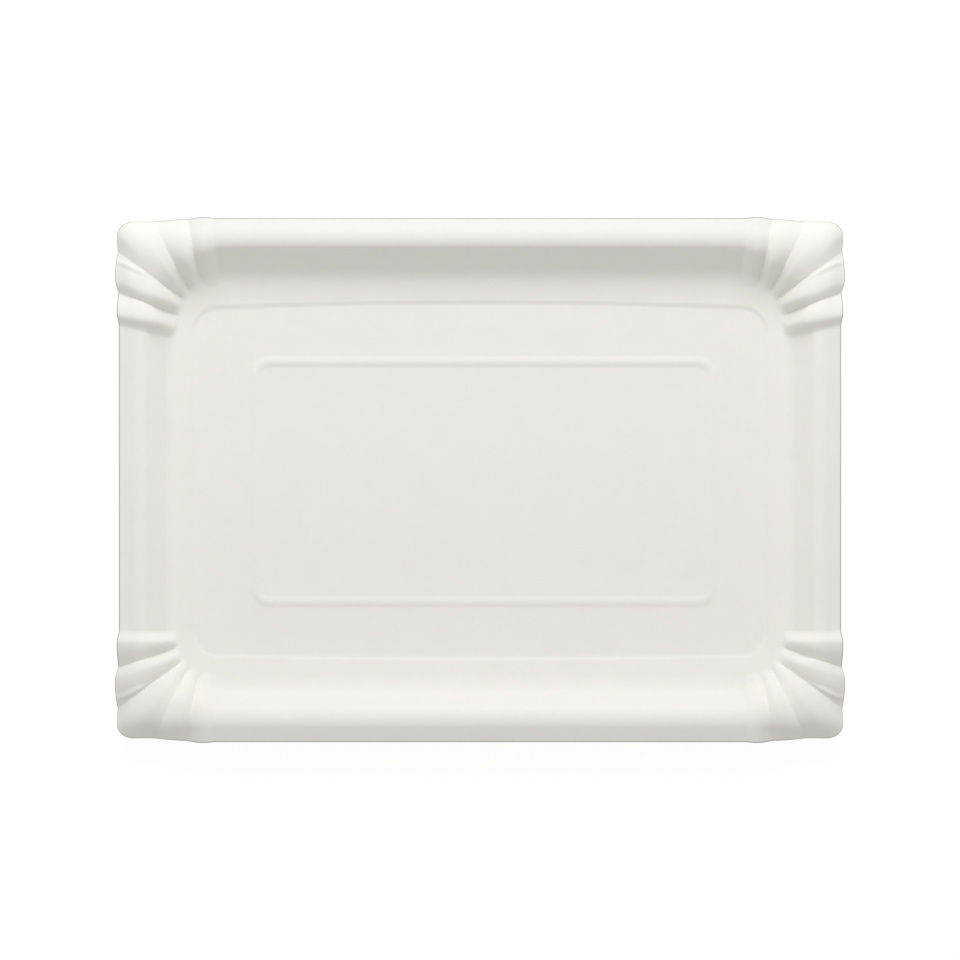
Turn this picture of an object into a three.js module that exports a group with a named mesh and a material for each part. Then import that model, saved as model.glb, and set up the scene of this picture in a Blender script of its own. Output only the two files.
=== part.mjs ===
// Rectangular tray pressed from one sheet of white paper board.
// The floor is flat with one raised bead, a crease lifts it into a sloping border, and the border
// climbs a wall to a rolled rim. The spare board at each corner is gathered into five flutes.
// Millimetres, +Z up. The origin is the middle of the flat underside.

import {
  BufferGeometry,
  Float32BufferAttribute,
  Group,
  MathUtils,
  Mesh,
  MeshStandardMaterial,
  ShapeUtils,
  Vector2,
  Vector3,
} from 'three';

// Overall sizes
const length = 230; // along X, over the outermost corner flutes
const width = 165; // along Y, over the straight long edges
const board = 0.5; // thickness of the pressed board
const rimHeight = 14.6; // from the floor up to the top of the rolled rim

// Crease round the floor: a short steep lift between two small bends
const creaseRadius = 1.4;
const creaseSlope = 32;
const creaseRun = 0.5;
const floorCornerRadius = 9;

// Raised bead pressed into the floor, a rounded rectangle
const beadLength = 142; // along X, over its middle line
const beadWidth = 76.2; // along Y, over its middle line
const beadCornerRadius = 4;
const beadBreadth = 4.4; // across the bead
const beadHeight = 0.5;

// Sections of the border. Runs are measured in plan, slopes in degrees from level.
const longSide = {
  band: 4.6,
  bandSlope: 12.5,
  footRadius: 7.6,
  wallSlope: 53,
  crestRadius: 4.5,
  droop: 24,
  flange: 4.4,
};
const shortSide = {
  band: 4.8,
  bandSlope: 12.5,
  footRadius: 5,
  wallSlope: 61,
  crestRadius: 3.6,
  droop: 22,
  flange: 4.6,
};
const cornerDiagonal = {
  band: 4.8,
  bandSlope: 12.5,
  footRadius: 5,
  wallSlope: 53,
  crestRadius: 11,
  droop: 46,
  flange: 3,
};

// Plan of the corner
const edgeCornerRadius = 5.5; // of the cut edge
const footCornerAlongX = 14.2; // of the line where the wall meets the band
const footCornerAlongY = 17;
const shortEdgeBulge = 0.75; // the short edge swells outwards beside the corner
const longEdgePull = 1.05; // the long edge is drawn inwards beside the corner

// Flutes, from the corner outwards. Each climbs slowly and falls back sharply towards its straight
// side. Widths of the two faces are measured along the cut edge, the lift is square to the board
// there, and the overhang is how far the ridge stands out past its neighbours. The foot turns are
// the parts of the quarter turn of the wall foot that the two faces take, in degrees.
const cornerFlute = {
  onShortSide: 10.4,
  onLongSide: 10.9,
  lift: 2.4,
  overhang: 0.1,
  footTurns: [6.5, 6.5],
};
const shortSideFlutes = [
  { climb: 8.7, fall: 4.3, lift: 2.8, overhang: 0.9, footTurns: [8, 9.5] },
  { climb: 7.6, fall: 4.5, lift: 3.3, overhang: 0.45, footTurns: [9, 11.5] },
];
const longSideFlutes = [
  { climb: 6.9, fall: 3.6, lift: 2.2, overhang: 0.1, footTurns: [9, 8] },
  { climb: 4.2, fall: 4.4, lift: 2, overhang: 0.3, footTurns: [9.5, 12.5] },
];
const fluteBite = 0.7; // how far the flutes reach into the band
const fluteFoot = 0.45; // part of its lift that a flute already has beside the wall foot
const fluteEase = 0.13; // part of its length over which a flute eases in there

// Fineness of the facets
const faceSteps = 3; // across each face of a flute
const creaseSteps = 2;
const footSteps = 4;
const crestSteps = 6;
const flangeSteps = 2;
const beadSteps = 6; // across the bead
const beadCornerSteps = 5;

const { degToRad, lerp, smoothstep } = MathUtils;
const QUARTER_TURN = Math.PI / 2;

// Walks the section of one side from the floor outwards, as straight runs joined by tangent bends.
// Gives the plan distance, height and slope of each point, and the middle of the foot bend.
function walkSection(side) {
  const points = [{ out: 0, up: 0, slope: 0 }];
  let { out, up, slope } = points[0];
  function run(distance, steps) {
    for (let i = 0; i < steps; i++) {
      out += distance / steps;
      up += (distance / steps) * Math.tan(slope);
      points.push({ out, up, slope });
    }
  }
  function bend(radius, degrees, steps) {
    const start = { out, up, slope };
    const end = degToRad(degrees);
    const hand = Math.sign(end - start.slope);
    for (let i = 1; i <= steps; i++) {
      slope = lerp(start.slope, end, i / steps);
      out = start.out + hand * radius * (Math.sin(slope) - Math.sin(start.slope));
      up = start.up + hand * radius * (Math.cos(start.slope) - Math.cos(slope));
      points.push({ out, up, slope });
    }
  }
  bend(creaseRadius, creaseSlope, creaseSteps);
  run(creaseRun, 1);
  bend(creaseRadius, side.bandSlope, creaseSteps);
  run(side.band - fluteBite, 1);
  const fluteStart = out;
  run(fluteBite, 1);
  const footIndex = points.length - 1 + footSteps / 2;
  bend(side.footRadius, side.wallSlope, footSteps);
  const crestRise = side.crestRadius * (1 - Math.cos(slope));
  run((rimHeight - crestRise - up) / Math.tan(slope), 1);
  bend(side.crestRadius, -side.droop, crestSteps);
  run(side.flange, flangeSteps);
  return { points, footIndex, foot: points[footIndex].out, border: out, fluteStart };
}

// Restates a section as shares of its two legs, floor edge to foot and foot to cut edge, so that
// it can be stretched between the lines of the plan.
function proportion(section) {
  const { points, footIndex, foot, border, fluteStart } = section;
  return points.map(({ out, up, slope }, i) => ({
    outerLeg: i > footIndex,
    share: i > footIndex ? (out - foot) / (border - foot) : out / foot,
    up,
    slope,
    gather: Math.max(0, (out - fluteStart) / (border - fluteStart)),
  }));
}

// Mixes two proportioned sections point by point.
function mixSections(a, b, amount) {
  return a.map((point, i) => ({
    outerLeg: point.outerLeg,
    share: lerp(point.share, b[i].share, amount),
    up: lerp(point.up, b[i].up, amount),
    slope: lerp(point.slope, b[i].slope, amount),
    gather: lerp(point.gather, b[i].gather, amount),
  }));
}

const longSection = walkSection(longSide);
const shortSection = walkSection(shortSide);
const sections = {
  long: proportion(longSection),
  short: proportion(shortSection),
  corner: proportion(walkSection(cornerDiagonal)),
};

// Faces of the flutes of one corner in order from the short side to the long side. "from" and "to"
// are distances from the corner along the cut edge, negative on the short side, and the turns are
// shares of the quarter turn of the wall foot.
function fluteFaces() {
  const flutes = [
    ...shortSideFlutes.toReversed().map((flute) => ({
      ...flute,
      breadths: [flute.fall, flute.climb],
      turns: flute.footTurns.toReversed(),
    })),
    {
      ...cornerFlute,
      breadths: [cornerFlute.onShortSide, cornerFlute.onLongSide],
      turns: cornerFlute.footTurns,
    },
    ...longSideFlutes.map((flute) => ({
      ...flute,
      breadths: [flute.climb, flute.fall],
      turns: flute.footTurns,
    })),
  ];
  const sum = (numbers) => numbers.reduce((total, number) => total + number, 0);
  const wholeTurn = sum(flutes.flatMap((flute) => flute.turns));
  const shortReach = sum(shortSideFlutes.flatMap((flute) => [flute.climb, flute.fall]));
  let at = -cornerFlute.onShortSide - shortReach;
  let turn = 0;
  return flutes.flatMap(({ breadths, turns, lift, overhang }, i) =>
    breadths.map((breadth, j) => {
      const face = {
        from: at,
        to: at + breadth,
        turnFrom: turn,
        turnTo: turn + turns[j] / wholeTurn,
        lift,
        overhang,
        rises: j === 0,
        meetsShortSide: i === 0 && j === 0,
      };
      at = face.to;
      turn = face.turnTo;
      return face;
    }),
  );
}

// Height across one face of a flute, 0 at the fold line and 1 on the ridge. The ridge is round and
// the folds are sharp. Against the straight part of the short side the flute eases off instead.
function faceHeight(face, share) {
  const way = face.rises ? share : 1 - share;
  return face.meetsShortSide
    ? (1 - Math.cos(Math.PI * way)) / 2
    : Math.sin(QUARTER_TURN * way);
}

const faces = fluteFaces();
const shortSeam = faces[0].from;
const longSeam = faces.at(-1).to;

// One station round the corner: its place on the cut edge, its turn round the wall foot, and the
// lift and overhang of its flute.
function station(face, share) {
  const height = faceHeight(face, share);
  return {
    at: lerp(face.from, face.to, share),
    turn: lerp(face.turnFrom, face.turnTo, share),
    lift: face.lift * height,
    overhang: face.overhang * height,
  };
}

const stations = faces.flatMap((face) =>
  Array.from({ length: faceSteps }, (_, step) => station(face, step / faceSteps)),
);
stations.push(station(faces.at(-1), 1));

// How far the cut edge stands outside its straight line, negative where it is drawn in.
function edgeShift(at) {
  const bulge = shortEdgeBulge * smoothstep(at, shortSeam, -edgeCornerRadius);
  const pull = longEdgePull * smoothstep(-at, -longSeam, -edgeCornerRadius);
  return lerp(bulge, -pull, smoothstep(at, -edgeCornerRadius, edgeCornerRadius));
}

// Point of a rounded corner whose sides lie at x and y, at a share of its quarter turn.
function cornerPoint(x, y, alongX, alongY, turn) {
  const angle = turn * QUARTER_TURN;
  return new Vector2(
    x - alongX + alongX * Math.cos(angle),
    y - alongY + alongY * Math.sin(angle),
  );
}

// Point of the cut edge of the corner that points to +X and +Y.
function edgePoint({ at, overhang }, straightHalf) {
  const radius = edgeCornerRadius;
  const turn = MathUtils.clamp((at + radius) / (2 * radius), 0, 1);
  const point = cornerPoint(straightHalf, width / 2, radius, radius, turn);
  point.y -= Math.max(0, -at - radius);
  point.x -= Math.max(0, at - radius);
  const angle = turn * QUARTER_TURN;
  const outwards = new Vector2(Math.cos(angle), Math.sin(angle));
  return point.addScaledVector(outwards, edgeShift(at) + overhang);
}

// One station of the corner as a line of points from the floor edge out to the cut edge. The lift
// moves them square to the board, and the edge is set back first so that it ends on its outline.
function stationLine(place, straightHalf) {
  const { turn, lift } = place;
  const floorX = straightHalf - shortSection.border;
  const floorY = width / 2 - longSection.border;
  const floor = cornerPoint(floorX, floorY, floorCornerRadius, floorCornerRadius, turn);
  const foot = cornerPoint(
    floorX + shortSection.foot,
    floorY + longSection.foot,
    footCornerAlongX,
    footCornerAlongY,
    turn,
  );
  const edge = edgePoint(place, straightHalf);
  const outwards = edge.clone().sub(foot).normalize();
  const side = mixSections(sections.short, sections.long, smoothstep(turn, 0, 1));
  const section = mixSections(side, sections.corner, Math.sin(Math.PI * turn) ** 2);
  edge.addScaledVector(outwards, lift * Math.sin(section.at(-1).slope));
  return section.map((point) => {
    const from = point.outerLeg ? foot : floor;
    const to = point.outerLeg ? edge : foot;
    const plan = from.clone().lerp(to, point.share);
    const gather = smoothstep(point.gather, 0, fluteEase) * lerp(fluteFoot, 1, point.gather);
    const raised = lift * gather;
    plan.addScaledVector(outwards, -raised * Math.sin(point.slope));
    return new Vector3(plan.x, plan.y, point.up + raised * Math.cos(point.slope));
  });
}

// The outermost flute is found first, so that the tray measures its full length over it.
const reach = Math.max(...stations.map((place) => stationLine(place, 0).at(-1).x));
const straightHalf = length / 2 - reach;
const cornerLines = stations.map((place) => stationLine(place, straightHalf));

// Turns lines made for the +X +Y corner into those of all four corners, anticlockwise.
function allRound(lines) {
  const mirrored = (sx, sy) =>
    lines.map((line) => line.map(({ x, y, z }) => new Vector3(sx * x, sy * y, z)));
  return [
    ...mirrored(1, 1),
    ...mirrored(-1, 1).reverse(),
    ...mirrored(-1, -1),
    ...mirrored(1, -1).reverse(),
  ];
}

// The bead as lines across it, from its inner foot to its outer foot.
const beadCorner = Array.from({ length: beadCornerSteps + 1 }, (_, i) => {
  const turn = i / beadCornerSteps;
  return Array.from({ length: beadSteps + 1 }, (__, j) => {
    const across = (j / beadSteps - 0.5) * beadBreadth;
    const radius = beadCornerRadius + across;
    const x = beadLength / 2 + across;
    const y = beadWidth / 2 + across;
    const plan = cornerPoint(x, y, radius, radius, turn);
    const height = (beadHeight * (1 + Math.cos((2 * Math.PI * across) / beadBreadth))) / 2;
    return new Vector3(plan.x, plan.y, height);
  });
});

// Triangles between neighbouring lines of points, the last joined to the first.
function loftFaces(lines) {
  return lines.flatMap((line, i) => {
    const next = lines[(i + 1) % lines.length];
    return line.slice(1).flatMap((_, j) => [
      [line[j], line[j + 1], next[j + 1]],
      [line[j], next[j + 1], next[j]],
    ]);
  });
}

// Triangles of the flat floor inside a closed loop, leaving out a hole.
function flatFaces(loop, hole) {
  const holes = hole ? [hole] : [];
  const plan = (points) => points.map(({ x, y }) => new Vector2(x, y));
  const corners = [loop, ...holes].flat();
  return ShapeUtils.triangulateShape(plan(loop), holes.map(plan)).map((face) =>
    face.map((i) => corners[i]),
  );
}

// Gives each point the average normal of its faces, weighted by their angles at it.
function pointNormals(faces) {
  const normals = new Map();
  for (const face of faces) {
    const normal = new Vector3().crossVectors(
      face[1].clone().sub(face[0]),
      face[2].clone().sub(face[0]),
    );
    normal.normalize();
    face.forEach((point, i) => {
      const a = face[(i + 1) % 3].clone().sub(point);
      const b = face[(i + 2) % 3].clone().sub(point);
      if (!normals.has(point)) normals.set(point, new Vector3());
      normals.get(point).addScaledVector(normal, a.angleTo(b));
    });
  }
  normals.forEach((normal) => normal.normalize());
  return normals;
}

// Builds the closed sheet: the upper skin, the lower skin one board below it, and the cut edge.
function pressedSheet() {
  const border = allRound(cornerLines);
  const bead = allRound(beadCorner);
  const floorEdge = border.map((line) => line[0]);
  const cutEdge = border.map((line) => line.at(-1));
  const upper = [
    ...loftFaces(border),
    ...flatFaces(floorEdge, bead.map((line) => line.at(-1)).reverse()),
    ...loftFaces(bead),
    ...flatFaces(bead.map((line) => line[0])),
  ];
  const normals = pointNormals(upper);
  const beadFeet = bead.flatMap((line) => [line[0], line.at(-1)]);
  [...floorEdge, ...beadFeet].forEach((point) => normals.set(point, new Vector3(0, 0, 1)));
  const lowered = new Map();
  normals.forEach((normal, point) => {
    lowered.set(point, point.clone().addScaledVector(normal, -board));
  });
  const lower = upper.map(([a, b, c]) => [lowered.get(a), lowered.get(c), lowered.get(b)]);
  const rim = cutEdge.flatMap((point, i) => {
    const next = cutEdge[(i + 1) % cutEdge.length];
    return [
      [point, lowered.get(point), lowered.get(next)],
      [point, lowered.get(next), next],
    ];
  });
  const corners = [...upper, ...lower, ...rim].flat();
  const geometry = new BufferGeometry();
  const coordinates = corners.flatMap(({ x, y, z }) => [x, y, z + board]);
  geometry.setAttribute('position', new Float32BufferAttribute(coordinates, 3));
  geometry.computeVertexNormals();
  return geometry;
}

const whiteBoard = new MeshStandardMaterial({ color: 0xf1f0e9, roughness: 0.75, metalness: 0 });

const tray = new Mesh(pressedSheet(), whiteBoard);
tray.name = 'tray';

const part = new Group();
part.name = 'rectangular_tray';
part.add(tray);

export default part;
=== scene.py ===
import math

import bpy
import numpy as np
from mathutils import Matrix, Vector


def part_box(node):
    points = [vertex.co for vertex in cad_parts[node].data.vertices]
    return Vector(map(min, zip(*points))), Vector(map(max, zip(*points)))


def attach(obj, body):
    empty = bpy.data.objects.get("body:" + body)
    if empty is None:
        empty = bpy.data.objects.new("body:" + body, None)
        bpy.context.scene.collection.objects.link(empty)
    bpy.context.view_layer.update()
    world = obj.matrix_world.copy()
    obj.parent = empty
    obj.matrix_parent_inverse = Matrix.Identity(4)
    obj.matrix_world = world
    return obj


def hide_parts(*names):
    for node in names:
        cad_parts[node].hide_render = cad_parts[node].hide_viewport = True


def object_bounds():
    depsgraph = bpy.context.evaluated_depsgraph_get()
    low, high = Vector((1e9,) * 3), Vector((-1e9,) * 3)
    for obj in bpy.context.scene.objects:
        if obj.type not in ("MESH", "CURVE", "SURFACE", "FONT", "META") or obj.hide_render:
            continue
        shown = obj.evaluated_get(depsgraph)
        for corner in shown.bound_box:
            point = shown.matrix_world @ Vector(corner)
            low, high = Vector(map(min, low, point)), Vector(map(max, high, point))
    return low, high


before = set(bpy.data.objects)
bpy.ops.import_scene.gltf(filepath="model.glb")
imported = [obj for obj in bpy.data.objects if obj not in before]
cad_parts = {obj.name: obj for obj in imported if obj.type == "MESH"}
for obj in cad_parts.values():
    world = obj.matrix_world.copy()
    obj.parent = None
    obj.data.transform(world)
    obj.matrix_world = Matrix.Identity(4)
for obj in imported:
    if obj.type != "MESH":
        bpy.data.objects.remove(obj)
CAD_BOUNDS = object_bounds()

bl_info = {
    "name": "Pressed board tray",
    "version": (1, 0, 0),
    "blender": (4, 5, 0),
    "location": "3D View > Sidebar > Tray",
    "description": "Rectangular tray pressed from white paper board, with its stage",
    "category": "Add Mesh",
}

# Units of the shape functions are millimetres, and meshes are written in metres.
MM = 0.001
NODE = "tray"
BOX_LOW, BOX_HIGH = (np.array(corner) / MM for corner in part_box(NODE))
LENGTH = float(BOX_HIGH[0] - BOX_LOW[0])
EDGE_WIDTH = 165.0  # over the straight long edges

# Sections of the border. Runs are measured in plan, slopes in degrees from level.
LONG_SIDE = {
    "band": 4.6,
    "band_slope": 12.5,
    "foot_radius": 7.6,
    "wall_slope": 55.0,
    "crest_radius": 4.5,
    "droop": 24.0,
}
NEAR_LONG_SIDE = {**LONG_SIDE, "flange": 4.75}
FAR_LONG_SIDE = {**LONG_SIDE, "flange": 4.1}
SHORT_SIDE = {
    "band": 4.8,
    "band_slope": 12.5,
    "foot_radius": 5.0,
    "wall_slope": 61.0,
    "crest_radius": 3.6,
    "droop": 22.0,
    "flange": 4.6,
}
CORNER_DIAGONAL = {
    "band": 4.8,
    "band_slope": 12.5,
    "foot_radius": 5.0,
    "wall_slope": 53.0,
    "crest_radius": 11.0,
    "droop": 46.0,
    "flange": 3.0,
}

# Crease round the floor
CREASE_RADIUS = 1.4
CREASE_SLOPE = 32.0
CREASE_RUN = 0.5

# Plan of the corner
EDGE_CORNER_RADIUS = 5.5
FLOOR_CORNER_RADIUS = 7.0
SHORT_EDGE_BULGE = 0.75  # how far the cut edge swells out beside the corner, on the short side
LONG_EDGE_PULL = 1.05  # how far it is drawn in beside the corner, on the long side

# Flutes, from the corner outwards: widths along the cut edge of the face that climbs and of the
# face that falls back, lift square to the board at the cut edge, and how far the ridge stands
# out past its neighbours there.
CORNER_FLUTE = {"on_short": 10.4, "on_long": 10.9, "lift": 2.4, "overhang": 0.1}
SHORT_SIDE_FLUTES = (
    {"climb": 8.7, "fall": 4.3, "lift": 2.8, "overhang": 0.9},
    {"climb": 7.6, "fall": 4.5, "lift": 3.3, "overhang": 0.45},
)
LONG_SIDE_FLUTES = (
    {"climb": 6.9, "fall": 3.6, "lift": 2.2, "overhang": 0.1},
    {"climb": 4.2, "fall": 4.4, "lift": 2.0, "overhang": 0.3},
)
FLUTE_BITE = 0.7  # how far the flutes reach into the band
FLUTE_FOOT = 0.45  # part of its lift that a flute already has beside the wall foot
FLUTE_EASE = 0.13  # part of its length over which a flute eases in at the wall foot

# The corners at the far long side, +Y, are pressed a little unlike those at the near one. The
# foot turns are the degrees that the two faces of each flute take of the quarter turn of the
# wall foot, from the short side to the long side.
NEAR_CORNER = {
    "long_side": NEAR_LONG_SIDE,
    "crease_set_in": 1.0,  # how far the crease of the long side lies further in at its ends
    "crease_bow": 1.0,  # how far it comes out again towards the middle of that side
    "foot_radii": (14.2, 17.0),  # of the wall foot, along X and along Y
    "foot_turns": ((11.5, 9.0), (9.5, 8.0), (6.5, 6.5), (9.0, 8.0), (9.5, 12.5)),
    "narrowing": 0.0,  # of the climbing face of the outermost flute on the short side
}
FAR_CORNER = {
    "long_side": FAR_LONG_SIDE,
    "crease_set_in": 3.0,
    "crease_bow": 1.9,
    "foot_radii": (16.0, 21.0),
    "foot_turns": ((12.8, 10.3), (9.1, 7.6), (5.9, 5.9), (8.4, 8.0), (9.5, 12.5)),
    "narrowing": 1.2,
}
QUARTER_TURN = 90.0

BEAD_SHIFT = (1.2, -0.55)  # how far the bead lies beside the middle of the floor, X and Y
MIDDLE_DISC = 0.1  # size of the flat disc in the middle of the floor, beside that of the bead

PAINTED_SHADE_RIM = 0.3  # breadth of the painted shade, a darker line on the upper skin along the cut edge
EDGE_FLATNESS = 1 / 3  # how far the cut edge bulges, as a part of a full half round

# Small pleat on the first flute of the short side, beside the corner flute
PLEAT_AT = 3.3  # from the fold line, along the cut edge
PLEAT_BREADTH = 1.5
PLEAT_LIFT = 0.55
PLEAT_START = 0.42  # part of the flute's length where the pleat begins, on the fold line
PLEAT_EASE = 0.5  # part of its own length over which the pleat rises

# Fineness of the surface, in steps along each part of the section
INNER_STEPS = 3  # from the middle of the floor to the bead
BEAD_STEPS = 12
FLOOR_STEPS = 3  # from the bead to the floor edge
CREASE_STEPS = 4  # of each bend of the crease
BAND_STEPS = 3
BITE_STEPS = 2
FOOT_STEPS = 8
WALL_STEPS = 6
CREST_STEPS = 14
FLANGE_STEPS = 7
EDGE_STEPS = 4

# Fineness of the surface, in steps round the tray
FACE_STEPS = 14  # across each face of a flute
FACE_CROWDING = 1.3  # power by which those steps crowd towards the fold
LONG_STEPS = 12  # along the straight part of a long side
SHORT_STEPS = 8

# Board
FIBRE_SCALE = 900.0
FIBRE_SHARE = 0.6  # of the fibres in the tone, beside the mottle
FIBRE_DEPTH = 0.05  # how far the fibres stand up at full strength
MOTTLE_SCALE = 90.0
BOARD_ROUGHNESS = 0.85
BOARD_DIFFUSE_ROUGHNESS = 0.5
BOARD_GLOSS = 0.15

# Stage, in metres and degrees
TABLE_HALF = 1.5
TABLE_DROP = 0.00002  # keeps the table clear of the underside
TABLE_COLOUR = (0.8, 0.8, 0.79, 1)
SHADOW_GREY = 0.16  # the part of the seen table that takes light and shadow
SHADOW_GLOW = 0.9  # the part of it that is always white
SKY_COLOUR = (1, 1, 0.98, 1)
LAMP_LENGTH = 0.6
LAMP_BREADTH = 0.3
LAMP_COLOUR = (0.965, 0.98, 1.0)
LAMP_DISTANCE = 0.8
LAMP_ELEVATION = 45.0
SENSOR_WIDTH = 36.0  # millimetres, as lens lengths are
CAMERA_REACH = 20.0


def walk_section(side, rim_height):
    """Section of one side, walked from the floor edge outwards.

    Straight runs are joined by tangent bends. Along a bend of radius r from slope a to slope b the
    plan distance grows by r (sin b - sin a) and the height by r (cos a - cos b), with the sign of
    the turn. The wall run is as long as it takes to bring the rolled rim to its height. The
    middle of the foot bend parts the section in two, and each part is stretched by itself.
    """
    out, up, slope = [np.zeros(1)], [np.zeros(1)], [np.zeros(1)]

    def run(distance, steps):
        way = distance * np.arange(1, steps + 1) / steps
        angle = slope[-1][-1]
        out.append(out[-1][-1] + way)
        up.append(up[-1][-1] + way * math.tan(angle))
        slope.append(np.full(steps, angle))

    def bend(radius, degrees, steps):
        start = slope[-1][-1]
        angle = np.linspace(start, math.radians(degrees), steps + 1)[1:]
        hand = math.copysign(1.0, math.radians(degrees) - start)
        out.append(out[-1][-1] + hand * radius * (np.sin(angle) - math.sin(start)))
        up.append(up[-1][-1] + hand * radius * (math.cos(start) - np.cos(angle)))
        slope.append(angle)

    bend(CREASE_RADIUS, CREASE_SLOPE, CREASE_STEPS)
    run(CREASE_RUN, 1)
    bend(CREASE_RADIUS, side["band_slope"], CREASE_STEPS)
    run(side["band"] - FLUTE_BITE, BAND_STEPS)
    flute_start = out[-1][-1]
    run(FLUTE_BITE, BITE_STEPS)
    foot_index = sum(len(part) for part in out) - 1 + FOOT_STEPS // 2
    bend(side["foot_radius"], side["wall_slope"], FOOT_STEPS)
    wall = math.radians(side["wall_slope"])
    crest_rise = side["crest_radius"] * (1 - math.cos(wall))
    run((rim_height - crest_rise - up[-1][-1]) / math.tan(wall), WALL_STEPS)
    bend(side["crest_radius"], -side["droop"], CREST_STEPS)
    run(side["flange"], FLANGE_STEPS)
    out, up, slope = (np.concatenate(part) for part in (out, up, slope))
    foot, border = out[foot_index], out[-1]
    outer = np.arange(len(out)) > foot_index
    return {
        "outer": outer,
        "share": np.where(outer, (out - foot) / (border - foot), out / foot),
        "up": up,
        "slope": slope,
        "gather": np.clip((out - flute_start) / (border - flute_start), 0, None),
        "foot": foot,
        "border": border,
    }


def fold_lines(corner):
    """Flutes of one corner in order from the short side to the long side.

    Each gets its place along the cut edge, measured from the corner and negative on the short
    side, and its place in the quarter turn of the wall foot, for its start, ridge and end.
    """
    inner, outermost = SHORT_SIDE_FLUTES
    flutes = [
        (outermost["fall"], outermost["climb"] - corner["narrowing"], outermost),
        (inner["fall"], inner["climb"], inner),
    ]
    at = -CORNER_FLUTE["on_short"] - sum(first + second for first, second, _ in flutes[::-1])
    flutes.append((CORNER_FLUTE["on_short"], CORNER_FLUTE["on_long"], CORNER_FLUTE))
    flutes += [(f["climb"], f["fall"], f) for f in LONG_SIDE_FLUTES]
    passed = 0.0
    folds = []
    for (first, second, flute), turns in zip(flutes, corner["foot_turns"]):
        folds.append({
            "places": (at, at + first, at + first + second),
            "turns": tuple(
                (passed + more) / QUARTER_TURN for more in (0.0, turns[0], sum(turns))),
            "lift": flute["lift"],
            "overhang": flute["overhang"],
        })
        at += first + second
        passed += sum(turns)
    return folds


def corner_stations(corner):
    """Stations round one corner: place on the cut edge, turn of the wall foot, and flute lift.

    Across a flute the lift is a quarter sine from a sharp fold up to a round ridge, and a half
    cosine where the last flute eases off into the short side. Stations crowd towards the folds.
    """
    folds = fold_lines(corner)
    at, turn, lift, overhang = [], [], [], []
    way = (np.arange(FACE_STEPS + 1) / FACE_STEPS) ** FACE_CROWDING
    sharp = np.sin(math.pi / 2 * way)
    soft = (1 - np.cos(math.pi * way)) / 2
    for i, fold in enumerate(folds):
        first, last = i == 0, i == len(folds) - 1
        start, ridge, end = fold["places"]
        climb_at = start + (ridge - start) * way
        fall_at = (end + (ridge - end) * way)[::-1]
        climb = soft if first else sharp
        fall = sharp[::-1]
        places = np.concatenate([climb_at[:-1], fall_at[: None if last else -1]])
        heights = np.concatenate([climb[:-1], fall[: None if last else -1]])
        at.append(places)
        turn.append(np.interp(places, fold["places"], fold["turns"]))
        lift.append(fold["lift"] * heights)
        overhang.append(fold["overhang"] * heights)
    return [np.concatenate(part) for part in (at, turn, lift, overhang)], folds


def smoothstep(x, low, high):
    """Cubic ease from 0 at low to 1 at high."""
    t = np.clip((x - low) / (high - low), 0, 1)
    return t * t * (3 - 2 * t)


def corner_point(x, y, radii, turn):
    """Rounded corner with its sides at x and y: centre plus radii times (cos, sin) of the turn."""
    angle = turn * math.pi / 2
    along_x, along_y = radii
    return np.stack([
        x - along_x + along_x * np.cos(angle),
        y - along_y + along_y * np.sin(angle),
    ], axis=-1)


def edge_shift(at, folds):
    """How far the cut edge stands outside its straight line, eased to nothing at the seams."""
    bulge = SHORT_EDGE_BULGE * smoothstep(at, folds[0]["places"][0], -EDGE_CORNER_RADIUS)
    pull = -LONG_EDGE_PULL * smoothstep(-at, -folds[-1]["places"][2], -EDGE_CORNER_RADIUS)
    across = smoothstep(at, -EDGE_CORNER_RADIUS, EDGE_CORNER_RADIUS)
    return bulge + (pull - bulge) * across


def pleat_lift(at, gather):
    """Lift of the pleat: a raised cosine whose middle leaves the fold line on its way out."""
    way = np.clip((gather - PLEAT_START) / (1 - PLEAT_START), 0, 1)
    middle = -CORNER_FLUTE["on_short"] - PLEAT_AT * way
    across = np.clip(np.abs(at[:, None] - middle) / PLEAT_BREADTH, 0, 1)
    return PLEAT_LIFT * smoothstep(way, 0, PLEAT_EASE) * (1 + np.cos(math.pi * across)) / 2


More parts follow.
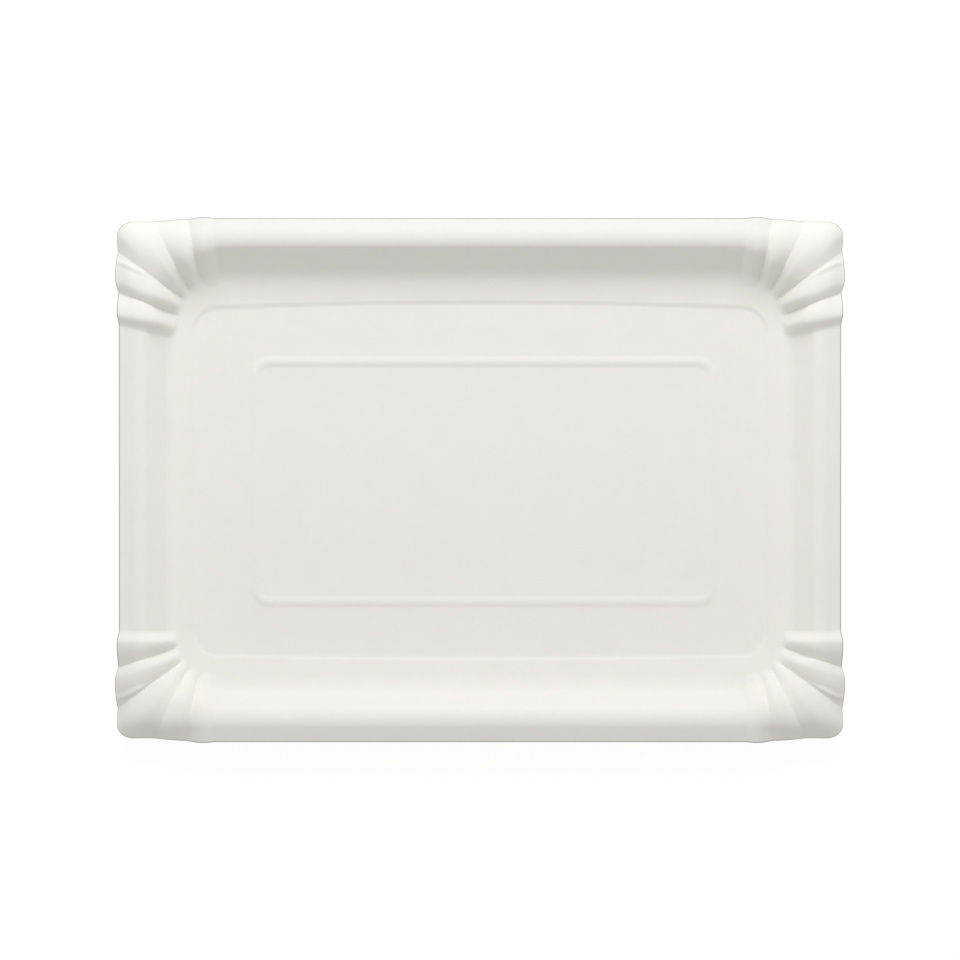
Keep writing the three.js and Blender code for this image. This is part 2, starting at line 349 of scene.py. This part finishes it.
def border_lines(corner, rim_height, straight_half):
    """Border of the +X +Y corner as lines of points from the floor edge to the cut edge.

    A line runs straight in plan from the floor edge to the wall foot and from there to the cut
    edge. The three sections are mixed along the turn, stretched onto the line, and moved square
    to the board by the lift of the flute, which eases in at the wall foot. Also returned are the
    turn of each line and how much each point along it goes with the crease.
    """
    (at, turn, lift, overhang), folds = corner_stations(corner)
    short = walk_section(SHORT_SIDE, rim_height)
    long = walk_section(corner["long_side"], rim_height)
    diagonal = walk_section(CORNER_DIAGONAL, rim_height)
    side_mix = smoothstep(turn, 0, 1)[:, None]
    corner_mix = (np.sin(math.pi * turn) ** 2)[:, None]

    def mixed(key):
        side = short[key] + (long[key] - short[key]) * side_mix
        return side + (diagonal[key] - side) * corner_mix

    half = EDGE_WIDTH / 2
    floor = corner_point(
        straight_half - short["border"], half - long["border"] - corner["crease_set_in"],
        (FLOOR_CORNER_RADIUS,) * 2, turn)
    foot = corner_point(
        straight_half - short["border"] + short["foot"],
        half - long["border"] + long["foot"], corner["foot_radii"], turn)
    radius = EDGE_CORNER_RADIUS
    edge_turn = np.clip((at + radius) / (2 * radius), 0, 1)
    edge = corner_point(straight_half, half, (radius, radius), edge_turn)
    edge[:, 1] -= np.clip(-at - radius, 0, None)
    edge[:, 0] -= np.clip(at - radius, 0, None)
    angle = edge_turn * math.pi / 2
    shift = edge_shift(at, folds) + overhang
    edge += np.stack([np.cos(angle), np.sin(angle)], axis=-1) * shift[:, None]
    outwards = edge - foot
    outwards /= np.linalg.norm(outwards, axis=1, keepdims=True)
    slope = mixed("slope")
    length_way = mixed("gather")
    gather = smoothstep(length_way, 0, FLUTE_EASE) * (FLUTE_FOOT + (1 - FLUTE_FOOT) * length_way)
    raised = lift[:, None] * gather + pleat_lift(at, length_way)
    edge += outwards * (raised[:, -1] * np.sin(slope[:, -1]))[:, None]

    outer = short["outer"][None, :, None]
    start = np.where(outer, foot[:, None], floor[:, None])
    end = np.where(outer, edge[:, None], foot[:, None])
    plan = start + (end - start) * mixed("share")[:, :, None]
    plan = plan - outwards[:, None] * (raised * np.sin(slope))[:, :, None]
    height = mixed("up") + raised * np.cos(slope)
    crease_part = np.where(long["outer"], 0, 1 - long["share"])
    return np.concatenate([plan, height[:, :, None]], axis=2), turn, crease_part


def floor_lines(turn, floor_edge, bead, signs):
    """Floor of one corner: lines from near the middle over the bead to the floor edge.

    The bead is a raised cosine across its breadth, carried round a rounded rectangle. The corner
    is made in +X +Y, and the signs say which quarter of the tray it is for.
    """
    half_length = bead["length"] / 2 + BEAD_SHIFT[0] * signs[0]
    half_width = bead["width"] / 2 + BEAD_SHIFT[1] * signs[1]
    across = np.linspace(-0.5, 0.5, BEAD_STEPS + 1) * bead["breadth"]
    height = bead["height"] * (1 + np.cos(2 * math.pi * across / bead["breadth"])) / 2
    rings = [
        corner_point(half_length + a, half_width + a, (bead["radius"] + a,) * 2, turn)
        for a in across
    ]
    inner = [rings[0] * s for s in np.linspace(MIDDLE_DISC, 1, INNER_STEPS + 1)[:-1]]
    outer = [
        rings[-1] + (floor_edge - rings[-1]) * s for s in np.linspace(0, 1, FLOOR_STEPS + 1)[1:-1]
    ]
    plan = np.stack(inner + rings + outer, axis=1)
    up = np.concatenate([np.zeros(len(inner)), height, np.zeros(len(outer))])
    up = np.broadcast_to(up, plan.shape[:2])
    return np.concatenate([plan, up[:, :, None]], axis=2)


def all_round(corners, bows):
    """The four corners joined by straight sides, anticlockwise from the +X side.

    The bows are what each side adds in its middle, fading towards both ends with the square of
    the distance from the middle.
    """
    blocks = []
    for i, block in enumerate(corners):
        following = corners[(i + 1) % 4]
        steps = LONG_STEPS if i % 2 == 0 else SHORT_STEPS
        way = (np.arange(1, steps) / steps)[:, None, None]
        bow = bows[i] * (1 - (2 * way - 1) ** 2)
        blocks += [block, block[-1] + (following[0] - block[-1]) * way + bow]
    return np.concatenate(blocks)


def surface_normals(grid):
    """Unit normals of a grid of points, from central differences along both directions."""
    around = np.roll(grid, -1, axis=0) - np.roll(grid, 1, axis=0)
    outwards = np.gradient(grid, axis=1)
    normals = np.cross(outwards, around)
    return normals / np.linalg.norm(normals, axis=2, keepdims=True)


def with_painted_shade_rim(upper, breadth):
    """Adds one line of points to the upper skin, a little inside the cut edge, parting off the
    strip that takes the painted shade.
    """
    inwards = upper[:, -2] - upper[:, -1]
    inwards /= np.linalg.norm(inwards, axis=1, keepdims=True)
    return np.insert(upper, -1, upper[:, -1] + inwards * breadth, axis=1)


def crease_bow(bow, floor_points, crease_part):
    """What a bow of the crease along Y adds to the points of one line, from the middle outwards.

    It grows in equal steps from the bead to the crease and fades again towards the wall foot.
    """
    floor_part = np.zeros(floor_points)
    floor_part[-FLOOR_STEPS:] = np.arange(FLOOR_STEPS) / FLOOR_STEPS
    return np.concatenate([floor_part, crease_part])[:, None] * np.array([0, bow, 0])


def upper_skin(bead, rim_height):
    """Upper skin of the whole tray, as lines of points from the middle of the floor outwards.

    Each quarter is made as a +X +Y corner and mirrored to its place. On the long sides the
    crease bows outwards, and the floor beside it and the band give way in step.
    """
    corners = (NEAR_CORNER, FAR_CORNER)
    reach = max(border_lines(corner, rim_height, 0.0)[0][:, :, 0].max() for corner in corners)
    straight_half = LENGTH / 2 - reach
    quarters, bows = [], []
    for signs in ((1, 1), (-1, 1), (-1, -1), (1, -1)):
        corner = FAR_CORNER if signs[1] > 0 else NEAR_CORNER
        border, turn, crease_part = border_lines(corner, rim_height, straight_half)
        floor = floor_lines(turn, border[:, 0, :2], bead, signs)
        quarter = np.concatenate([floor, border], axis=1) * np.array([*signs, 1.0])
        long_side_follows = signs[0] == signs[1]
        quarters.append(quarter if long_side_follows else quarter[::-1])
        bow = signs[1] * corner["crease_bow"] if long_side_follows else 0
        bows.append(crease_bow(bow, floor.shape[1], crease_part))
    # The outermost strip of the upper skin takes the painted shade along the cut edge.
    return with_painted_shade_rim(all_round(quarters, bows), PAINTED_SHADE_RIM)


def sheet_grid(sizes):
    """Closed section lines of the whole tray, out along the upper skin and back along the lower.

    The lower skin lies one board below the upper one, square to it, and the cut edge between
    them is a flattened half round. The finer facets are then drawn in to the box of the solid.
    """
    bead = {
        "length": sizes.bead_length / MM,
        "width": sizes.bead_width / MM,
        "radius": sizes.bead_radius / MM,
        "breadth": sizes.bead_breadth / MM,
        "height": sizes.bead_height / MM,
    }
    board = sizes.board / MM
    upper = upper_skin(bead, sizes.rim_height / MM)
    normals = surface_normals(upper)
    lower = upper - normals * board
    tip = upper[:, -1] - upper[:, -2]
    tip /= np.linalg.norm(tip, axis=1, keepdims=True)
    angle = np.linspace(math.pi / 2, -math.pi / 2, EDGE_STEPS + 1)[1:-1]
    middle = (upper[:, -1] + lower[:, -1]) / 2
    rounded = (
        middle[:, None]
        + np.sin(angle)[None, :, None] * normals[:, -1:] * board / 2
        + np.cos(angle)[None, :, None] * tip[:, None] * board / 2 * EDGE_FLATNESS
    )
    lines = np.concatenate([upper, rounded, lower[:, ::-1]], axis=1)
    lines[:, :, 2] += board
    low, high = lines.min(axis=(0, 1)), lines.max(axis=(0, 1))
    lines = BOX_LOW + (lines - low) * (BOX_HIGH - BOX_LOW) / (high - low)
    return lines, upper.shape[1]


def grid_mesh(name, lines, edge_start, edge_end):
    """Mesh of closed section lines carried round the tray, with a flat disc closing each middle.

    The strip from edge_start to edge_end along the lines takes the second material.
    """
    around, along = lines.shape[:2]
    index = np.arange(around * along).reshape(around, along)
    following = np.roll(index, -1, axis=0)
    quads = np.stack([
        index[:, :-1], index[:, 1:], following[:, 1:], following[:, :-1],
    ], axis=-1).reshape(-1, 4)
    corners = np.concatenate([quads.ravel(), index[:, 0], index[::-1, -1]])
    sizes = np.concatenate([np.full(len(quads), 4), [around, around]])
    mesh = bpy.data.meshes.new(name)
    mesh.vertices.add(around * along)
    mesh.vertices.foreach_set("co", (lines.reshape(-1, 3) * MM).ravel())
    mesh.loops.add(len(corners))
    mesh.loops.foreach_set("vertex_index", corners)
    mesh.polygons.add(len(sizes))
    mesh.polygons.foreach_set("loop_start", np.concatenate([[0], np.cumsum(sizes)[:-1]]))
    mesh.polygons.foreach_set("loop_total", sizes)
    strip = np.zeros((around, along - 1), dtype=np.int32)
    strip[:, edge_start:edge_end] = 1
    slots = np.concatenate([strip.ravel(), [0, 0]])
    mesh.polygons.foreach_set("material_index", slots)
    mesh.polygons.foreach_set("use_smooth", np.ones(len(sizes), dtype=bool))
    mesh.update(calc_edges=True)
    mesh.validate()
    return mesh


def link(name, mesh):
    """Object for a mesh, in the scene at the origin."""
    piece = bpy.data.objects.new(name, mesh)
    bpy.context.scene.collection.objects.link(piece)
    return piece


def fibre_group():
    """Node group: fibres and mottle of paper board as a tone near 1 and a height.

    The fibres are the mean of two noises, drawn out along X and along Y.
    """
    group = bpy.data.node_groups.new("board_fibre", "ShaderNodeTree")
    sockets = group.interface
    sockets.new_socket("Vector", in_out="INPUT", socket_type="NodeSocketVector")
    for label, default in (("Fibre", FIBRE_SCALE), ("Mottle", MOTTLE_SCALE), ("Contrast", 1.0)):
        socket = sockets.new_socket(label, in_out="INPUT", socket_type="NodeSocketFloat")
        socket.default_value = default
    sockets.new_socket("Tone", in_out="OUTPUT", socket_type="NodeSocketFloat")
    sockets.new_socket("Height", in_out="OUTPUT", socket_type="NodeSocketFloat")
    nodes, links = group.nodes, group.links
    given = nodes.new("NodeGroupInput")
    result = nodes.new("NodeGroupOutput")

    def noise(scale_socket, stretch, detail):
        mapping = nodes.new("ShaderNodeMapping")
        mapping.inputs["Scale"].default_value = stretch
        texture = nodes.new("ShaderNodeTexNoise")
        texture.inputs["Detail"].default_value = detail
        links.new(given.outputs["Vector"], mapping.inputs["Vector"])
        links.new(mapping.outputs["Vector"], texture.inputs["Vector"])
        links.new(given.outputs[scale_socket], texture.inputs["Scale"])
        return texture.outputs["Fac"]

    def math_node(operation, a, b):
        node = nodes.new("ShaderNodeMath")
        node.operation = operation
        for socket, value in zip(node.inputs, (a, b)):
            if isinstance(value, float):
                socket.default_value = value
            else:
                links.new(value, socket)
        return node.outputs[0]

    long_fibres = noise("Fibre", (0.35, 1.0, 1.0), 3.0)
    cross_fibres = noise("Fibre", (1.0, 0.45, 1.0), 3.0)
    mottle = noise("Mottle", (1.0, 1.0, 1.0), 2.0)
    fibres = math_node("MULTIPLY", math_node("ADD", long_fibres, cross_fibres), 0.5)
    fibre_part = math_node("MULTIPLY", fibres, FIBRE_SHARE)
    mottle_part = math_node("MULTIPLY", mottle, 1 - FIBRE_SHARE)
    spread = math_node("ADD", fibre_part, mottle_part)
    centred = math_node("SUBTRACT", spread, 0.5)
    tone = math_node("ADD", math_node("MULTIPLY", centred, given.outputs["Contrast"]), 1.0)
    links.new(tone, result.inputs["Tone"])
    links.new(fibres, result.inputs["Height"])
    return group


def board_material(name, colour, fibre, contrast, bump):
    """Matt paper board: the colour times the fibre tone, with the fibres standing up a little."""
    material = bpy.data.materials.new(name)
    material.use_nodes = True
    nodes, links = material.node_tree.nodes, material.node_tree.links
    shader = nodes["Principled BSDF"]
    shader.inputs["Roughness"].default_value = BOARD_ROUGHNESS
    shader.inputs["Specular IOR Level"].default_value = BOARD_GLOSS
    shader.inputs["Diffuse Roughness"].default_value = BOARD_DIFFUSE_ROUGHNESS
    place = nodes.new("ShaderNodeTexCoord")
    group = nodes.new("ShaderNodeGroup")
    group.node_tree = fibre
    group.inputs["Contrast"].default_value = contrast
    tint = nodes.new("ShaderNodeVectorMath")
    tint.operation = "SCALE"
    tint.inputs[0].default_value = colour
    height = nodes.new("ShaderNodeBump")
    height.inputs["Strength"].default_value = bump
    height.inputs["Distance"].default_value = FIBRE_DEPTH * MM
    links.new(place.outputs["Object"], group.inputs["Vector"])
    links.new(group.outputs["Tone"], tint.inputs["Scale"])
    links.new(tint.outputs["Vector"], shader.inputs["Base Color"])
    links.new(group.outputs["Height"], height.inputs["Height"])
    links.new(height.outputs["Normal"], shader.inputs["Normal"])
    return material


def seen_as_white(tree, plain_shader, camera_shader):
    """Uses one shader for what the camera, gloss and glass see and the other for plain light."""
    nodes, links = tree.nodes, tree.links
    path = nodes.new("ShaderNodeLightPath")
    seen = path.outputs["Is Camera Ray"]
    for ray in ("Is Glossy Ray", "Is Transmission Ray"):
        either = nodes.new("ShaderNodeMath")
        either.operation = "MAXIMUM"
        links.new(seen, either.inputs[0])
        links.new(path.outputs[ray], either.inputs[1])
        seen = either.outputs[0]
    mix = nodes.new("ShaderNodeMixShader")
    links.new(seen, mix.inputs["Fac"])
    links.new(plain_shader, mix.inputs[1])
    links.new(camera_shader, mix.inputs[2])
    return mix.outputs["Shader"]


class TraySizes(bpy.types.PropertyGroup):
    """Sizes of the pressed tray that can be set by themselves."""

    rim_height: bpy.props.FloatProperty(
        name="Rim height", description="From the floor up to the top of the rolled rim",
        default=14.6 * MM, unit="LENGTH", subtype="DISTANCE")
    board: bpy.props.FloatProperty(
        name="Board", description="Thickness of the pressed board",
        default=0.5 * MM, unit="LENGTH", subtype="DISTANCE")
    bead_length: bpy.props.FloatProperty(
        name="Bead length", description="Along X, over the middle line of the bead",
        default=144.4 * MM, unit="LENGTH", subtype="DISTANCE")
    bead_width: bpy.props.FloatProperty(
        name="Bead width", description="Along Y, over the middle line of the bead",
        default=76.2 * MM, unit="LENGTH", subtype="DISTANCE")
    bead_radius: bpy.props.FloatProperty(
        name="Bead corner radius", description="Of the middle line of the bead",
        default=4 * MM, unit="LENGTH", subtype="DISTANCE")
    bead_breadth: bpy.props.FloatProperty(
        name="Bead breadth", description="Across the bead",
        default=4.4 * MM, unit="LENGTH", subtype="DISTANCE")
    bead_height: bpy.props.FloatProperty(
        name="Bead height", description="Of the bead above the floor",
        default=0.5 * MM, unit="LENGTH", subtype="DISTANCE")
    board_colour: bpy.props.FloatVectorProperty(
        name="Board colour", description="Colour of the pressed white board",
        default=(0.87, 0.863, 0.826), size=3, subtype="COLOR", min=0, max=1)
    # Colour of the cut edge, also used for the painted shade on the strip of the upper skin beside
    # it.
    cut_edge_and_shade_colour: bpy.props.FloatVectorProperty(
        name="Cut edge colour", description="Colour of the bare cut edge of the board",
        default=(0.50, 0.49, 0.44), size=3, subtype="COLOR", min=0, max=1)


class TrayStage(bpy.types.PropertyGroup):
    """Light and camera of the stage."""

    sky: bpy.props.FloatProperty(
        name="Sky", description="Strength of the even light from all round", default=0.59)
    lamp_power: bpy.props.FloatProperty(
        name="Lamp power", description="Of the soft lamp behind the tray",
        default=3.5, unit="POWER", subtype="POWER")
    camera_height: bpy.props.FloatProperty(
        name="Camera height", description="Of the camera above the table",
        default=1.5, unit="LENGTH", subtype="DISTANCE")
    frame_width: bpy.props.FloatProperty(
        name="Frame width", description="What the picture takes in at the height of the rim",
        default=301.2 * MM, unit="LENGTH", subtype="DISTANCE")


class TRAY_OT_sheet(bpy.types.Operator):
    """Make the pressed sheet of the tray"""

    bl_idname = "tray.sheet"
    bl_label = "Pressed sheet"

    def execute(self, context):
        sizes = context.scene.tray_sizes
        lines, upper_points = sheet_grid(sizes)
        # The second material covers the strip from the last line of the upper skin round the cut
        # edge: painted shade on the upper skin, and the cut edge's own colour.
        mesh = grid_mesh("pressed_sheet", lines, upper_points - 2, upper_points - 1 + EDGE_STEPS)
        fibre = fibre_group()
        mesh.materials.append(board_material(
            "white_board", sizes.board_colour, fibre, contrast=0.06, bump=0.25))
        mesh.materials.append(board_material(
            "board_cut_edge_and_painted_shade", sizes.cut_edge_and_shade_colour, fibre, contrast=0.5, bump=0.6))
        piece = link("pressed_sheet", mesh)
        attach(piece, "root")
        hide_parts(NODE)
        return {"FINISHED"}


class TRAY_OT_stage(bpy.types.Operator):
    """Make the table, the light and the camera"""

    bl_idname = "tray.stage"
    bl_label = "Stage"

    def execute(self, context):
        stage = context.scene.tray_stage
        make_table()
        make_sky(stage.sky)
        make_lamp(stage.lamp_power)
        make_camera(stage.camera_height, stage.frame_width)
        return {"FINISHED"}


def make_table():
    """Plain pale table that the camera sees as white, with the tray's shadow left on it."""
    half, low = TABLE_HALF, -TABLE_DROP
    mesh = bpy.data.meshes.new("table")
    mesh.from_pydata(
        [(-half, -half, low), (half, -half, low), (half, half, low), (-half, half, low)],
        [], [(0, 1, 2, 3)])
    table = link("table", mesh)
    material = bpy.data.materials.new("pale_table")
    material.use_nodes = True
    tree = material.node_tree
    tree.nodes.remove(tree.nodes["Principled BSDF"])
    diffuse = tree.nodes.new("ShaderNodeBsdfDiffuse")
    diffuse.inputs["Color"].default_value = TABLE_COLOUR
    shadow = tree.nodes.new("ShaderNodeBsdfDiffuse")
    shadow.inputs["Color"].default_value = (SHADOW_GREY, SHADOW_GREY, SHADOW_GREY, 1)
    glow = tree.nodes.new("ShaderNodeEmission")
    glow.inputs["Strength"].default_value = SHADOW_GLOW
    both = tree.nodes.new("ShaderNodeAddShader")
    tree.links.new(shadow.outputs[0], both.inputs[0])
    tree.links.new(glow.outputs[0], both.inputs[1])
    surface = seen_as_white(tree, diffuse.outputs[0], both.outputs[0])
    tree.links.new(surface, tree.nodes["Material Output"].inputs["Surface"])
    mesh.materials.append(material)


def make_sky(strength):
    """Even light from all round, which the camera sees as white."""
    world = bpy.data.worlds.new("sky")
    bpy.context.scene.world = world
    world.use_nodes = True
    tree = world.node_tree
    plain = tree.nodes["Background"]
    plain.inputs["Color"].default_value = SKY_COLOUR
    plain.inputs["Strength"].default_value = strength
    white = tree.nodes.new("ShaderNodeBackground")
    white.inputs["Color"].default_value = (1, 1, 1, 1)
    white.inputs["Strength"].default_value = 1.0
    surface = seen_as_white(tree, plain.outputs[0], white.outputs[0])
    tree.links.new(surface, tree.nodes["World Output"].inputs["Surface"])


def make_lamp(power):
    """Large soft lamp beyond the far long side, turned to the middle of the tray."""
    data = bpy.data.lights.new("soft_lamp", "AREA")
    data.shape = "RECTANGLE"
    data.size = LAMP_LENGTH
    data.size_y = LAMP_BREADTH
    data.energy = power
    data.color = LAMP_COLOUR
    lamp = bpy.data.objects.new("soft_lamp", data)
    bpy.context.scene.collection.objects.link(lamp)
    elevation = math.radians(LAMP_ELEVATION)
    lamp.location = (
        0, LAMP_DISTANCE * math.cos(elevation), LAMP_DISTANCE * math.sin(elevation))
    lamp.rotation_euler = (-(math.pi / 2 - elevation), 0, 0)


def make_camera(height, frame_width):
    """Camera straight above the tray, with the long sides level in the picture."""
    data = bpy.data.cameras.new("camera")
    camera = bpy.data.objects.new("camera", data)
    bpy.context.scene.collection.objects.link(camera)
    rim = float(CAD_BOUNDS[1][2])
    data.sensor_width = SENSOR_WIDTH
    data.lens = data.sensor_width * (height - rim) / frame_width
    data.clip_end = CAMERA_REACH
    camera.location = (0, 0, height)
    bpy.context.scene.camera = camera


class TRAY_PT_panel(bpy.types.Panel):
    """Lists the tray's pieces and sizes"""

    bl_idname = "TRAY_PT_panel"
    bl_label = "Tray"
    bl_space_type = "VIEW_3D"
    bl_region_type = "UI"
    bl_category = "Tray"

    def draw(self, context):
        column = self.layout.column()
        for group in (context.scene.tray_sizes, context.scene.tray_stage):
            for name in group.__annotations__:
                column.prop(group, name)
        column.operator("tray.sheet")
        column.operator("tray.stage")


CLASSES = (TraySizes, TrayStage, TRAY_OT_sheet, TRAY_OT_stage, TRAY_PT_panel)


def register():
    for cls in CLASSES:
        bpy.utils.register_class(cls)
    bpy.types.Scene.tray_sizes = bpy.props.PointerProperty(type=TraySizes)
    bpy.types.Scene.tray_stage = bpy.props.PointerProperty(type=TrayStage)


def unregister():
    del bpy.types.Scene.tray_stage
    del bpy.types.Scene.tray_sizes
    for cls in reversed(CLASSES):
        bpy.utils.unregister_class(cls)


def main():
    """Makes the tray and its stage."""
    register()
    scene = bpy.context.scene
    scene.view_settings.view_transform = "Standard"
    bpy.ops.tray.sheet()
    bpy.ops.tray.stage()


if __name__ == "__main__":
    main()
